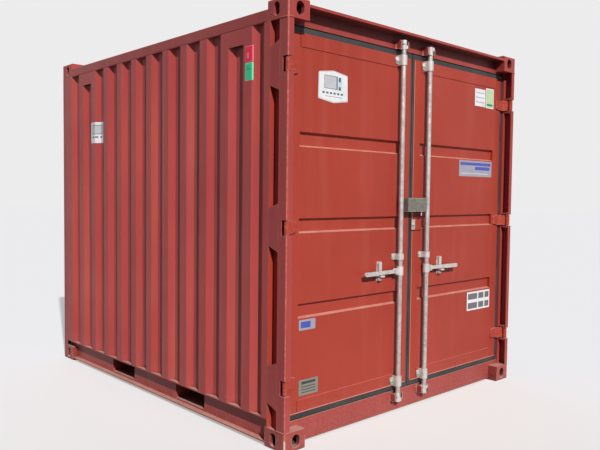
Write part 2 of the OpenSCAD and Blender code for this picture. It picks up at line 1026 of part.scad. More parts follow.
// Foot plate on a face, and a sleeve around the bar
module bar_bracket(z, face, plate, sleeve, corner) {
    half = plate / 2;
    run = sleeve / 2;
    difference() {
        union() {
            along_x(face, face + foot_plate)
                rounded_rectangle([bar_y - bracket_width / 2, z - half],
                                  [bar_y + bracket_width / 2, z + half], corner);
            along_z(z - run, z + run) {
                rectangle([face, bar_y - bracket_r], [bar_x, bar_y + bracket_r]);
                translate([bar_x, bar_y])
                    circle(bracket_r);
            }
        }
        translate([bar_x, bar_y, z - run - past])
            cylinder(r = bar_r + running_gap, h = sleeve + 2 * past);
    }
}

module leaf_brackets() {
    bar_bracket(leaf_low + bracket_from_foot, frame_face, end_plate_height, sleeve_height, 13);
    bar_bracket(handle_z + middle_bracket_rise, leaf_face, bracket_height, bracket_height, 6);
    bar_bracket(leaf_high - bracket_from_head, frame_face, end_plate_height, sleeve_height, 13);
}

// Catch in two pieces: a tall round lug behind the handle, and a ledge with a ball below it
module leaf_catch() {
    half = 17;
    lug = 14;
    handle_low = handle_z - handle_height / 2;
    handle_back = bar_x - handle_steel / 2;
    handle_front = bar_x + handle_steel / 2;
    ledge_z = 12;
    ledge_top = handle_low - catch_gap;
    slit = 0.8;
    lug_low = ledge_top + slit;
    top = handle_z + catch_rise;
    foot_rise = catch_rise - 30;
    foot_drop = 40;
    stud_r = 15;
    translate([0, catch_y, 0]) {
        along_x(leaf_face, leaf_face + foot_plate)
            rounded_rectangle([-half, lug_low], [half, handle_z + foot_rise], 6);
        along_x(leaf_face, handle_back - 7)
            rounded_rectangle([-lug, lug_low], [lug, top], 0.9 * lug);
        along_x(leaf_face, leaf_face + foot_plate)
            rounded_rectangle([-half, ledge_top - foot_drop], [half, ledge_top], 6);
        along_x(leaf_face, handle_front + 8)
            rounded_rectangle([-1.3 * lug, ledge_top - ledge_z], [1.3 * lug, ledge_top], 4);
        translate([leaf_face + stud_r + past, 0, ledge_top - ledge_z - 0.87 * stud_r])
            sphere(stud_r);
    }
}

// One half of the box that hides the padlock, open below and at the joint
module box_half(reach) {
    low = box_z - box_height / 2;
    high = box_z + box_height / 2;
    front = leaf_face + box_depth;
    difference() {
        box([leaf_face, box_gap, low], [front, reach, high]);
        box([leaf_face - past, box_gap - past, low - past],
            [front - box_steel, reach - box_steel, high - box_steel]);
    }
}

module leaf_bar() {
    translate([bar_x, bar_y, bar_low])
        cylinder(r = bar_r, h = bar_high - bar_low);
}

// Cam around the end of a bar, with two pairs of lobes that cross, one above the other
module cam() {
    collar = bar_r + 3;
    edge = 4;
    difference() {
        union() {
            along_z(0, cam_z)
                circle(collar);
            for (s = [-1, 1])
                along_z(s < 0 ? edge : cam_z - edge - cam_lobe, s < 0 ? edge + cam_lobe : cam_z - edge)
                    intersection() {
                        circle(cam_r);
                        rotate(s * 50)
                            rectangle([-cam_r - past, -10], [cam_r + past, 10]);
                    }
        }
        translate([0, 0, -past])
            cylinder(r = bar_r + fitting_gap, h = cam_z + 2 * past);
    }
}

// Sleeve and two cheeks that carry the handle's pin
module handle_hub() {
    sleeve = bar_r + 7;
    half = 30;
    cheek = 6;
    slack = 0.5;
    inner = handle_steel / 2 + slack;
    outer = inner + cheek;
    reach = handle_pivot + 16;
    hub_pin = 7;
    head = 14;
    difference() {
        union() {
            along_z(-half, half)
                circle(sleeve);
            for (s = [-1, 1])
                translate([s * (inner + outer) / 2, 0, 0])
                    along_x(-cheek / 2, cheek / 2)
                        rounded_rectangle([0, -20], [reach, 20], 12);
            translate([0, handle_pivot, 0])
                rotate([0, 90, 0])
                    cylinder(r = hub_pin, h = 2 * outer + 6, center = true);
            translate([outer - past, handle_pivot, 0])
                rotate([0, 90, 0])
                    cylinder(r = head, h = 4);
        }
        translate([0, 0, -half - past])
            cylinder(r = bar_r + fitting_gap, h = 2 * (half + past));
    }
}

module leaf_bar_fittings() {
    translate([bar_x, bar_y, 0]) {
        for (z = [low_cam_z, high_cam_z])
            translate([0, 0, z])
                cam();
        translate([0, 0, handle_z])
            handle_hub();
    }
}

// Flat handle that lies on its catch and is bent outwards beyond it
module leaf_handle() {
    eye = 15;
    hub_pin = 7;
    tip = handle_length;
    half = handle_height / 2;
    grip = grip_height / 2;
    back = -handle_steel / 2;
    bend = grip_from_pivot;
    slope = 18;
    translate([bar_x, bar_y + handle_pivot, handle_z])
        intersection() {
            along_z(-eye, eye)
                polygon(thick([
                    [back, -eye], [back, bend], [back + grip_offset, bend + slope], [back + grip_offset, tip]
                ], -handle_steel));
            along_x(-2 * handle_steel, 2 * handle_steel + grip_offset)
                difference() {
                    union() {
                        circle(eye);
                        rectangle([0, -half], [bend + slope, half]);
                        rectangle([bend + slope / 2, -grip], [tip - grip, grip]);
                        translate([tip - grip, 0])
                            circle(grip);
                    }
                    circle(hub_pin + running_gap);
                    translate([tip - grip - 2, 0])
                        circle(6);
                }
        }
}

module left() {
    mirror([0, 1, 0])
        children();
}

module left_door_frame() {
    color(red)
        left()
            leaf_frame();
}

module left_door_sheet() {
    color(red)
        left()
            leaf_sheet_shape();
}

module left_door_seal() {
    color(rubber)
        left()
            leaf_seal();
}

module left_hinge_blades() {
    color(red)
        left()
            leaf_blades();
}

module left_bar_brackets() {
    color(zinc)
        left()
            leaf_brackets();
}

module left_handle_catch() {
    color(zinc)
        left()
            leaf_catch();
}

module left_lock_box() {
    color(zinc)
        left()
            box_half(box_left);
}

module left_lock_bar() {
    color(zinc)
        left()
            leaf_bar();
}

module left_bar_fittings() {
    color(zinc)
        left()
            leaf_bar_fittings();
}

module left_handle() {
    color(zinc)
        left()
            leaf_handle();
}

module right_door_frame() {
    color(red)
        leaf_frame();
}

module right_door_sheet() {
    color(red)
        leaf_sheet_shape();
}

module right_door_seal() {
    color(rubber)
        leaf_seal();
}

module right_hinge_blades() {
    color(red)
        leaf_blades();
}

module right_bar_brackets() {
    color(zinc)
        leaf_brackets();
}

module right_handle_catch() {
    color(zinc)
        leaf_catch();
}

module right_lock_box() {
    color(zinc)
        box_half(box_right);
}

// Small drilled plate below the lock box, for a seal
module seal_bracket() {
    plate = 10;
    reach = seal_plate_reach;
    high = box_z - box_height / 2 - seal_plate_drop;
    low = high - seal_plate_height;
    hole_in = 12;
    hole = 5;
    color(red)
        difference() {
            box([leaf_face, box_gap, low], [leaf_face + plate, reach, high]);
            translate([0, box_gap + hole_in, (low + high) / 2])
                along_x(leaf_face - past, leaf_face + plate + past)
                    circle(hole);
        }
}

module right_lock_bar() {
    color(zinc)
        leaf_bar();
}

module right_bar_fittings() {
    color(zinc)
        leaf_bar_fittings();
}

module right_handle() {
    color(zinc)
        leaf_handle();
}

bottom_corner_castings();
top_corner_castings();
door_post_angles();
door_post_channels();
post_gussets();
hinge_lugs();
hinge_pins();
rear_corner_posts();
door_header();
door_sill();
rear_top_rail();
rear_bottom_rail();
top_side_rails();
bottom_side_rails();
bottom_rail_ends();
fork_pockets();
cross_members();
floor_boards();
left_side_wall();
right_side_wall();
rear_wall();
roof_sheet();
vent_covers();
cam_keepers();
left_door_frame();
left_door_sheet();
left_door_seal();
left_hinge_blades();
left_bar_brackets();
left_handle_catch();
left_lock_box();
left_lock_bar();
left_bar_fittings();
left_handle();
right_door_frame();
right_door_sheet();
right_door_seal();
right_hinge_blades();
right_bar_brackets();
right_handle_catch();
right_lock_box();
seal_bracket();
right_lock_bar();
right_bar_fittings();
right_handle();
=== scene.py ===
"""Looks of a ten-foot storage container: paint, zinc, rubber, plywood, labels, bolts and welds."""
import json
import math

import bmesh
import bpy
from mathutils import Matrix, Vector


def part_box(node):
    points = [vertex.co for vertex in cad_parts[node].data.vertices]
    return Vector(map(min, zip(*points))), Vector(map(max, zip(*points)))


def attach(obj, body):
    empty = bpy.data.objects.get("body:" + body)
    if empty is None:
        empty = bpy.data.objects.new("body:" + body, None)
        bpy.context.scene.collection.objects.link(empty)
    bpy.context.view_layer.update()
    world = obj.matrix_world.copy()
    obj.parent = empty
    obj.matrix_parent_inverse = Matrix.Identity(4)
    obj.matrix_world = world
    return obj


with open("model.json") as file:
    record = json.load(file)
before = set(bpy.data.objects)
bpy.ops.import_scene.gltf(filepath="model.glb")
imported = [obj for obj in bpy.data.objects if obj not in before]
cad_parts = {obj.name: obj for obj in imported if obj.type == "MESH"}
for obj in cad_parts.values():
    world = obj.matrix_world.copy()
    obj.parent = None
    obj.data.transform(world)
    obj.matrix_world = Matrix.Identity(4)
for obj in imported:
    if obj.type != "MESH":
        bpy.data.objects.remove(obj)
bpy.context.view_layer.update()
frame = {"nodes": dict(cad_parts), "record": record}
cad_nodes = frame["nodes"]

# Camera, solved from the photograph
CAMERA_PLACE = Vector((4.264, -3.682, 1.491))
CAMERA_AZIMUTH = math.radians(47.17)
CAMERA_DOWN = math.radians(2.72)
CAMERA_ROLL = math.radians(0.643)
CAMERA_LENS = 39.69

# Light
SUN_HEIGHT = math.radians(36)
SUN_OFF_DOOR = math.radians(22)
SUN_STRENGTH = 3.75
SUN_SOFTNESS = math.radians(0.8)
SUN_TINT = (1.0, 0.975, 0.94)
SKY_TINT = (0.72, 0.86, 1.2, 1.0)
SKY_AHEAD = 0.035
SKY_BEHIND = 1.1
SKY_BEHIND_WAY = Vector((-1, 0.5, 0.0)).normalized()
SKY_BEHIND_EDGE = 0.35
BACKDROP = 0.84
FLOOR_RADIUS = 60
FLOOR_AS_LIGHT = (0.135, 0.131, 0.127, 1.0)
FLOOR_AS_SEEN = (0.50, 0.52, 0.545, 1.0)
FLOOR_GLOW = (0.424, 0.405, 0.387, 1.0)

# Slopes of the side wall that labels are folded around, from the outer flat to the sunk flat
FAR_SLOPE = (-0.8715, -0.8255)
NEAR_SLOPE = (1.1725, 1.2185)

# Labels: thickness and corner radius of the vinyl and of a colour block on it
VINYL = 0.0006
VINYL_CORNER = 0.004
BLOCK = 0.0002
BLOCK_CORNER = 0.002
PLATE = 0.0012
PLATE_CORNER = 0.003

# How far each layer lies off the face that it is laid on
UNDER_VINYL = 0.0001
ON_VINYL = UNDER_VINYL + VINYL
ON_FIELD = ON_VINYL + BLOCK
ON_PLATE = UNDER_VINYL + PLATE
FOLDED_LIFT = 0.0002
FOLDED_STEP = 0.0007

# Bolts: radius and rise
DOMED_BOLT = (0.017, 0.011)
SMALL_BOLT = (0.007, 0.006)
FOOT_BOLT = (0.012, 0.009)
SEAL_BOLT = (0.011, 0.008)

# Faces that pieces are laid on
WALL_SHEET = 0.002
LEAF_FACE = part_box("left_door_sheet")[1].x
PROUD_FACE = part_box("left_door_frame")[1].x
SIDE_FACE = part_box("left_side_wall")[0].y
SIDE_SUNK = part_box("left_side_wall")[1].y - WALL_SHEET

# Points closer than this are made one
TOUCHING = 1e-6


def srgb(red, green, blue):
    """A colour given as 0 to 255 screen values, as the linear colour that nodes take."""
    def linear(value):
        value /= 255
        return value / 12.92 if value <= 0.04045 else ((value + 0.055) / 1.055) ** 2.4
    return (linear(red), linear(green), linear(blue), 1.0)


# Colours
RED_TONE = srgb(178, 67, 53)
RED_DEEP = srgb(168, 60, 46)
SIDE_TONE = srgb(188, 79, 75)
SIDE_DEEP = srgb(176, 70, 69)
FRAME_TONE = srgb(176, 73, 69)
FRAME_DEEP = srgb(163, 65, 62)
# Faded and scuffed tones, also laid along edges as a painted highlight
RED_FADED_AND_LIT = srgb(206, 116, 105)
RED_RUBBED_AND_LIT = srgb(216, 136, 122)
KEEPER_RUBBED_AND_LIT = srgb(222, 180, 168)
BARE_PALE = srgb(228, 208, 198)
# Painted shade, with some grime, laid in hollows
HOLLOW_SHADE_AND_GRIME = srgb(48, 20, 18)
YARD_DUST = srgb(218, 174, 160)
RUST_TONE = srgb(96, 48, 28)
ZINC_LIGHT = srgb(228, 224, 221)
ZINC_DARK = srgb(188, 184, 183)
BAR_LIGHT = srgb(214, 208, 205)
BAR_DARK = srgb(172, 166, 165)
ZINC_GRIME = srgb(120, 108, 98)
WORN_LIGHT = srgb(136, 136, 128)
WORN_DARK = srgb(104, 99, 92)
# Painted highlight along the lock box's edges
LOCK_BOX_EDGE_HIGHLIGHT = srgb(226, 218, 200)
RUBBER_TONE = srgb(44, 45, 47)
RUBBER_GREY = srgb(70, 70, 71)
PLY_TONE = srgb(150, 112, 74)
PLY_DARK = srgb(104, 72, 44)
PLY_SCUFF = srgb(120, 104, 86)
VINYL_DIRT = srgb(130, 110, 96)
PLATE_TONE = srgb(164, 160, 146)
PLATE_DULL = srgb(120, 120, 122)


class Finish:
    """A material and short ways to add nodes to it. Patterns lie in the object's own space, in metres."""

    def __init__(self, name, roughness=0.5, metallic=0.0):
        self.material = bpy.data.materials.new(name)
        self.material.use_nodes = True
        tree = self.material.node_tree
        self.tree_nodes = tree.nodes
        self.links = tree.links
        self.shader = tree.nodes["Principled BSDF"]
        self.shader.inputs["Roughness"].default_value = roughness
        self.shader.inputs["Metallic"].default_value = metallic
        self.place = self.add("ShaderNodeTexCoord").outputs["Object"]

    def add(self, kind, inputs=None, **settings):
        node = self.tree_nodes.new(kind)
        for key, value in settings.items():
            setattr(node, key, value)
        for key, value in (inputs or {}).items():
            self.put(value, node.inputs[key])
        return node

    def put(self, value, socket):
        if isinstance(value, bpy.types.NodeSocket):
            self.links.new(value, socket)
        else:
            socket.default_value = value

    def stretched(self, scale):
        return self.add("ShaderNodeMapping", {"Vector": self.place, "Scale": scale}).outputs["Vector"]

    def noise(self, scale, detail=3.0, vector=None, roughness=0.5):
        node = self.add("ShaderNodeTexNoise", {
            "Vector": vector or self.place, "Scale": scale, "Detail": detail, "Roughness": roughness})
        return node.outputs["Fac"]

    def step(self, value, low, high, top=1.0, bottom=0.0):
        """Value from low to high, turned into bottom to top."""
        node = self.add("ShaderNodeMapRange", {
            "Value": value, "From Min": low, "From Max": high, "To Min": bottom, "To Max": top})
        return node.outputs["Result"]

    def maths(self, operation, a, b):
        return self.add("ShaderNodeMath", {0: a, 1: b}, operation=operation).outputs[0]

    def mix(self, share, a, b):
        node = self.add("ShaderNodeMix", data_type="RGBA")
        self.put(share, node.inputs[0])
        self.put(a, node.inputs[6])
        self.put(b, node.inputs[7])
        return node.outputs[2]

    def height_of_face(self):
        """1 on a face that looks straight up, 0 on an upright one."""
        geometry = self.add("ShaderNodeNewGeometry")
        return self.add("ShaderNodeSeparateXYZ", {0: geometry.outputs["Normal"]}).outputs["Z"]

    def height_above_ground(self):
        return self.add("ShaderNodeSeparateXYZ", {0: self.place}).outputs["Z"]

    def sharp_edges(self, radius):
        """1 along sharp edges, 0 on flats."""
        bevel = self.add("ShaderNodeBevel", {"Radius": radius}, samples=4)
        geometry = self.add("ShaderNodeNewGeometry")
        dot = self.add("ShaderNodeVectorMath", {0: bevel.outputs[0], 1: geometry.outputs["Normal"]},
                       operation="DOT_PRODUCT").outputs["Value"]
        return self.step(dot, 0.99, 0.80)

    def hollows(self, open_share):
        """Mask for painted shade and grime: 0.85 inside hollows and 0 where more than open_share of the
        surroundings is open.
        """
        near = self.add("ShaderNodeAmbientOcclusion", {"Distance": 0.25}, samples=6)
        return self.step(near.outputs["AO"], open_share, open_share - 0.28, 0.85)

    def upright_bends(self):
        """1 on the rounded upright bends between two flats, 0 on the flats."""
        normal = self.add("ShaderNodeSeparateXYZ", {0: self.add("ShaderNodeNewGeometry").outputs["Normal"]})
        along, across = [self.maths("ABSOLUTE", normal.outputs[way], 0.0) for way in ("X", "Y")]
        return self.step(self.maths("MINIMUM", along, across), 0.25, 0.5)

    def bump(self, height, distance, below=None):
        inputs = {"Height": height, "Distance": distance, "Strength": 1.0}
        if below is not None:
            inputs["Normal"] = below
        return self.add("ShaderNodeBump", inputs).outputs["Normal"]

    def done(self, colour=None, roughness=None, normal=None):
        if colour is not None:
            self.put(colour, self.shader.inputs["Base Color"])
        if roughness is not None:
            self.put(roughness, self.shader.inputs["Roughness"])
        if normal is not None:
            self.put(normal, self.shader.inputs["Normal"])
        return self.material


def oxide_red_paint(name, tone, deep, streaks, waves, scuffs, rim=0.004, lit_rim=0.0, worn_and_lit=RED_FADED_AND_LIT,
                    scratches=0.0, scraped=0.0, hollow=0.42):
    """Satin red paint with faded clouds, rain streaks, yard dust, scuffed edges, a painted highlight along
    edges and painted shade with some grime in hollows.

    Edges are scuffed in spots over the width rim; lit_rim is the share of painted highlight that sharp edges
    and upright bends get in between, and edges are scraped bare below the height scraped. Painted shade,
    with some grime, darkens where less than the share hollow of the surroundings is open, and on a face that
    looks up only deep inside.
    """
    f = Finish(name)
    f.shader.inputs["Specular IOR Level"].default_value = 0.28
    clouds = f.step(f.noise(1.1, 4.0), 0.35, 0.65)
    colour = f.mix(clouds, deep, tone)
    runs = f.step(f.noise(1.0, 3.0, f.stretched((9, 9, 0.5))), 0.5, 0.75, streaks)
    colour = f.mix(runs, colour, RED_FADED_AND_LIT)
    # Scuffed spots on edges, and a painted highlight: sharp edges, and upright bends where asked, take the
    # pale tone at a set share even between the spots.
    edge = f.sharp_edges(rim)
    if lit_rim:
        edge = f.maths("MAXIMUM", edge, f.upright_bends())
    rubbed_and_lit = f.step(f.noise(38, 4.0), 0.45, 0.62, scuffs, lit_rim)
    colour = f.mix(f.maths("MULTIPLY", edge, rubbed_and_lit), colour, worn_and_lit)
    if scratches:
        thin_lines = f.noise(1.0, 4.0, f.stretched((35, 35, 150)))
        colour = f.mix(f.step(thin_lines, 0.60, 0.64, scratches), colour, worn_and_lit)
    spots = f.step(f.noise(24, 5.0, None, 0.65), 0.70, 0.74, 0.5 * scuffs)
    colour = f.mix(spots, colour, RUST_TONE)
    upwards = f.step(f.height_of_face(), 0.5, 1.0)
    patchy = f.step(f.noise(14, 5.0), 0.3, 0.7, 0.88, 0.5)
    colour = f.mix(f.maths("MULTIPLY", upwards, patchy), colour, YARD_DUST)
    splash = f.maths("MULTIPLY", f.step(f.height_above_ground(), 0.30, 0.0, 0.22),
                     f.step(f.noise(60, 6.0), 0.35, 0.75))
    colour = f.mix(splash, colour, YARD_DUST)
    if scraped:
        low_edge = f.maths("MULTIPLY", edge, f.step(f.height_above_ground(), scraped, scraped - 0.015))
        colour = f.mix(low_edge, colour, BARE_PALE)
    # Painted shade, with some grime, darkens the hollows.
    if hollow:
        shelter = f.hollows(hollow)
        reached = f.maths("MAXIMUM", f.step(upwards, 1.0, 0.0), f.step(shelter, 0.55, 0.80))
        colour = f.mix(f.maths("MULTIPLY", shelter, reached), colour, HOLLOW_SHADE_AND_GRIME)
    gloss = f.step(f.noise(5, 4.0), 0.3, 0.7, 0.50, 0.38)
    peel = f.bump(f.noise(420, 1.0), 0.00025)
    dents = f.bump(f.noise(2.2, 2.0), waves, peel)
    return f.done(colour, gloss, dents)


def galvanised_zinc(name, light, dark, wear, metallic=0.25, smooth=0.42, highlight_tone=None):
    """Dull zinc with a mottled spangle, darker, rougher patches and, where asked, a painted highlight along
    the edges.
    """
    f = Finish(name, metallic=metallic)
    spangle = f.add("ShaderNodeTexVoronoi", {"Vector": f.place, "Scale": 95.0}).outputs["Color"]
    tint = f.add("ShaderNodeSeparateXYZ", {0: spangle}).outputs["X"]
    cloud = f.noise(18, 4.0)
    blend = f.maths("MULTIPLY", f.maths("ADD", tint, f.step(cloud, 0.3, 0.7, 1.2)), 0.45)
    colour = f.mix(blend, dark, light)
    grime = f.step(f.noise(30, 5.0, None, 0.6), 0.56, 0.72, wear)
    colour = f.mix(grime, colour, ZINC_GRIME)
    # Painted highlight: a pale tone along sharp edges.
    if highlight_tone:
        colour = f.mix(f.sharp_edges(0.006), colour, highlight_tone)
    rough = f.step(cloud, 0.3, 0.7, smooth + 0.2, smooth)
    return f.done(colour, rough, f.bump(f.noise(160, 3.0), 0.0004))


def seal_rubber():
    """Weathered black rubber, greyed and dusty, with fine cross wrinkles."""
    f = Finish("seal_rubber")
    colour = f.mix(f.step(f.noise(6, 5.0), 0.35, 0.7), RUBBER_TONE, RUBBER_GREY)
    dust = f.maths("MULTIPLY", f.step(f.height_of_face(), 0.2, 0.9, 0.6),
                   f.step(f.noise(25, 4.0), 0.3, 0.7))
    colour = f.mix(dust, colour, YARD_DUST)
    rough = f.step(f.noise(12, 3.0), 0.3, 0.7, 0.8, 0.6)
    return f.done(colour, rough, f.bump(f.noise(90, 3.0), 0.0008))


def deck_plywood():
    """Hard plywood deck with long grain and scuffs."""
    f = Finish("deck_plywood")
    grain = f.noise(1.0, 5.0, f.stretched((4, 60, 30)))
    colour = f.mix(f.step(grain, 0.35, 0.65), PLY_DARK, PLY_TONE)
    colour = f.mix(f.step(f.noise(5, 6.0), 0.5, 0.8, 0.5), colour, PLY_SCUFF)
    return f.done(colour, f.step(grain, 0.3, 0.7, 0.8, 0.6), f.bump(grain, 0.0006))


def printed_sticker(name, tone):
    """Vinyl that has yellowed a little and gathered some dirt."""
    f = Finish(name)
    dirt = f.step(f.noise(16, 5.0), 0.45, 0.8, 0.22)
    colour = f.mix(dirt, tone, VINYL_DIRT)
    rough = f.step(f.noise(30, 3.0), 0.3, 0.7, 0.5, 0.35)
    return f.done(colour, rough, f.bump(f.noise(60, 2.0), 0.0002))


def brushed_plate(name, tone):
    """Thin aluminium plate, brushed lengthwise."""
    f = Finish(name, metallic=0.8)
    brush = f.noise(1.0, 4.0, f.stretched((600, 14, 600)))
    colour = f.mix(f.step(brush, 0.3, 0.7, 0.5), tone, PLATE_DULL)
    return f.done(colour, f.step(brush, 0.3, 0.7, 0.5, 0.34), f.bump(brush, 0.0001))


# Red paints: the number after the rim width is the share of painted highlight along edges and upright bends,
# and hollow sets where painted shade, with some grime, darkens the hollows.
FRAME_PAINT = oxide_red_paint("frame_paint", FRAME_TONE, FRAME_DEEP, 0.15, 0.0008, 1.0, 0.005, 0.4)
SHEET_PAINT = oxide_red_paint("sheet_paint", SIDE_TONE, SIDE_DEEP, 0.30, 0.0030, 0.5, hollow=0.60)
DOOR_PAINT = oxide_red_paint("door_paint", RED_TONE, RED_DEEP, 0.15, 0.0020, 0.5)
CASTING_PAINT = oxide_red_paint("casting_paint", FRAME_TONE, FRAME_DEEP, 0.15, 0.0020, 1.2, 0.005, 0.35,
                                scraped=0.085)
CHANNEL_PAINT = oxide_red_paint("channel_paint", RED_TONE, FRAME_DEEP, 0.15, 0.0008, 1.0, 0.005, 0.4,
                                hollow=0.0)
# The header's recess gets strong painted shade.
HEADER_PAINT = oxide_red_paint("header_paint", FRAME_TONE, FRAME_DEEP, 0.15, 0.0008, 1.0, 0.005, 0.4,
                               hollow=0.76)
# Keepers: edges scuffed pale by the cams, with a painted highlight along them
KEEPER_PAINT = oxide_red_paint("keeper_paint", FRAME_TONE, FRAME_DEEP, 0.15, 0.0008, 2.0, 0.009, 0.4,
                               KEEPER_RUBBED_AND_LIT)
HINGE_PAINT = oxide_red_paint("hinge_paint", RED_TONE, RED_DEEP, 0.15, 0.0008, 2.0, 0.005, 0.0,
                              RED_RUBBED_AND_LIT, 0.5)
# Painted highlight: pale paint for the thin strips laid along the leaves' lit bends
EDGE_HIGHLIGHT_PAINT = oxide_red_paint("edge_highlight_paint", RED_RUBBED_AND_LIT, RED_FADED_AND_LIT, 0.15, 0.0004, 0.5)
ZINC = galvanised_zinc("zinc", ZINC_LIGHT, ZINC_DARK, 0.4)
ZINC_BAR = galvanised_zinc("zinc_bar", BAR_LIGHT, BAR_DARK, 0.4, 0.65, 0.26)
WORN_ZINC_WITH_HIGHLIGHT = galvanised_zinc("worn_zinc_with_highlight", WORN_LIGHT, WORN_DARK, 0.7, highlight_tone=LOCK_BOX_EDGE_HIGHLIGHT)
SEAL_RUBBER = seal_rubber()
PLYWOOD = deck_plywood()
WHITE_VINYL = printed_sticker("white_vinyl", srgb(246, 248, 252))
RED_VINYL = printed_sticker("red_vinyl", srgb(255, 22, 72))
PINK_VINYL = printed_sticker("pink_vinyl", srgb(250, 150, 164))
GREEN_VINYL = printed_sticker("green_vinyl", srgb(28, 228, 164))
DEEP_GREEN_VINYL = printed_sticker("deep_green_vinyl", srgb(24, 140, 98))
MINT_VINYL = printed_sticker("mint_vinyl", srgb(186, 246, 214))
ICE_VINYL = printed_sticker("ice_vinyl", srgb(206, 226, 236))
PALE_GREEN_VINYL = printed_sticker("pale_green_vinyl", srgb(196, 228, 182))
BLUE_VINYL = printed_sticker("blue_vinyl", srgb(74, 88, 186))
SLATE_VINYL = printed_sticker("slate_vinyl", srgb(84, 96, 118))
DARK_VINYL = printed_sticker("dark_vinyl", srgb(52, 52, 58))
SILVER_VINYL = printed_sticker("silver_vinyl", srgb(170, 169, 184))
PANEL_VINYL = printed_sticker("panel_vinyl", srgb(206, 208, 216))
CELL_VINYL = printed_sticker("cell_vinyl", srgb(112, 108, 114))
METAL_PLATE = brushed_plate("metal_plate", PLATE_TONE)
BOLT_ZINC = galvanised_zinc("bolt_zinc", srgb(206, 214, 196), srgb(160, 172, 154), 0.3)

FINISH_OF_SLOT = {
    "frame_red": FRAME_PAINT, "sheet_red": SHEET_PAINT, "door_red": DOOR_PAINT, "cast_red": CASTING_PAINT,
    "galvanised": ZINC, "seal_rubber": SEAL_RUBBER, "floor_plywood": PLYWOOD}
FINISH_OF_NODE = {
    "left_lock_box": WORN_ZINC_WITH_HIGHLIGHT, "right_lock_box": WORN_ZINC_WITH_HIGHLIGHT,
    "left_lock_bar": ZINC_BAR, "right_lock_bar": ZINC_BAR,
    "left_hinge_blades": HINGE_PAINT, "right_hinge_blades": HINGE_PAINT,
    "door_header": HEADER_PAINT, "door_post_channels": CHANNEL_PAINT, "cam_keepers": KEEPER_PAINT}


def dress_cad_nodes():
    for part in frame["record"]["subparts"]:
        node = cad_nodes[part["node"]]
        finish = FINISH_OF_NODE.get(part["node"], FINISH_OF_SLOT[part["material_slot"]])
        if not node.material_slots:
            node.data.materials.append(finish)
        for slot in node.material_slots:
            slot.material = finish


dress_cad_nodes()


# How a flat piece lies: its own X runs across, its own Y runs up, its own Z points out of the face
DOOR_WAYS = Matrix(((0, 0, 1), (1, 0, 0), (0, 1, 0)))
SIDE_WAYS = Matrix(((1, 0, 0), (0, 0, -1), (0, 1, 0)))


def placed(bm, ways, point):
    bmesh.ops.transform(bm, matrix=Matrix.Translation(point) @ ways.to_4x4(), verts=bm.verts[:])


def made_object(name, bm, finish, body, smooth=False):
    bmesh.ops.recalc_face_normals(bm, faces=bm.faces[:])
    mesh = bpy.data.meshes.new(name)
    bm.to_mesh(mesh)
    bm.free()
    mesh.materials.append(finish)
    for face in mesh.polygons:
        face.use_smooth = smooth
    piece = bpy.data.objects.new(name, mesh)
    bpy.context.scene.collection.objects.link(piece)
    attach(piece, body)
    return piece


def rounded(bm, corner, segments):
    """Rounds the corners of a flat outline."""
    bmesh.ops.bevel(bm, geom=bm.verts[:], offset=corner, affect="VERTICES", segments=segments, profile=0.5,
                    material=-1)


def thickened(bm, thickness):
    """Gives a flat outline its thickness, with its back on the plane Z = 0."""
    bmesh.ops.solidify(bm, geom=bm.faces[:], thickness=thickness)
    lowest = min(v.co.z for v in bm.verts)
    bmesh.ops.translate(bm, vec=(0, 0, -lowest), verts=bm.verts[:])


def card(width, height, thickness, corner):
    """A thin plate with round corners, its back on the plane Z = 0."""
    bm = bmesh.new()
    bmesh.ops.create_grid(bm, x_segments=1, y_segments=1, size=0.5)
    bmesh.ops.scale(bm, vec=(width, height, 1), verts=bm.verts[:])
    if corner:
        rounded(bm, corner, 5)
    thickened(bm, thickness)
    return bm


def patch(points, thickness, corner):
    """A thin plate with the given outline, its back on the plane Z = 0."""
    bm = bmesh.new()
    bm.faces.new([bm.verts.new((x, y, 0)) for x, y in points])
    rounded(bm, corner, 4)
    thickened(bm, thickness)
    return bm


def door_card(name, finish, body, low, high, face, thickness=VINYL, corner=VINYL_CORNER,
              lift=UNDER_VINYL):
    """A card on the door (face is an X) between two corners (Y, Z)."""
    bm = card(high[0] - low[0], high[1] - low[1], thickness, corner)
    placed(bm, DOOR_WAYS, Vector((face + lift, (low[0] + high[0]) / 2, (low[1] + high[1]) / 2)))
    return made_object(name, bm, finish, body)


def label(name, finish, body, low, high):
    """Vinyl on the sheet of a leaf, between two corners (Y, Z)."""
    return door_card(name, finish, body, low, high, LEAF_FACE)


def block(name, finish, body, low, high, corner=0.0, lift=ON_VINYL):
    """A flat block of colour on a label of a leaf, between two corners (Y, Z)."""
    return door_card(name, finish, body, low, high, LEAF_FACE, BLOCK, corner, lift)


def ruled_lines(name, finish, body, low, high, count, thick, lift=ON_VINYL):
    """Thin lines across a label."""
    pitch = (high[1] - low[1]) / count
    for i in range(count):
        z = low[1] + (i + 0.5) * pitch
        block(f"{name}_{i + 1}", finish, body, (low[0], z - thick / 2), (high[0], z + thick / 2), lift=lift)


def row_of_marks(name, finish, body, low, high, count, lift):
    """Short blocks in a row across a label."""
    pitch = (high[0] - low[0]) / count
    wide = 0.62 * pitch
    for i in range(count):
        start = low[0] + i * pitch
        block(f"{name}_{i + 1}", finish, body, (start, low[1]), (start + wide, high[1]), lift=lift)


def shield_outline(wide, high, rise):
    """A broad shield with a low point at the middle of its head and of its foot."""
    x, y = wide / 2, high / 2
    return [(-x, rise - y), (0, -y), (x, rise - y), (0.97 * x, y - rise), (0, y), (-0.97 * x, y - rise)]


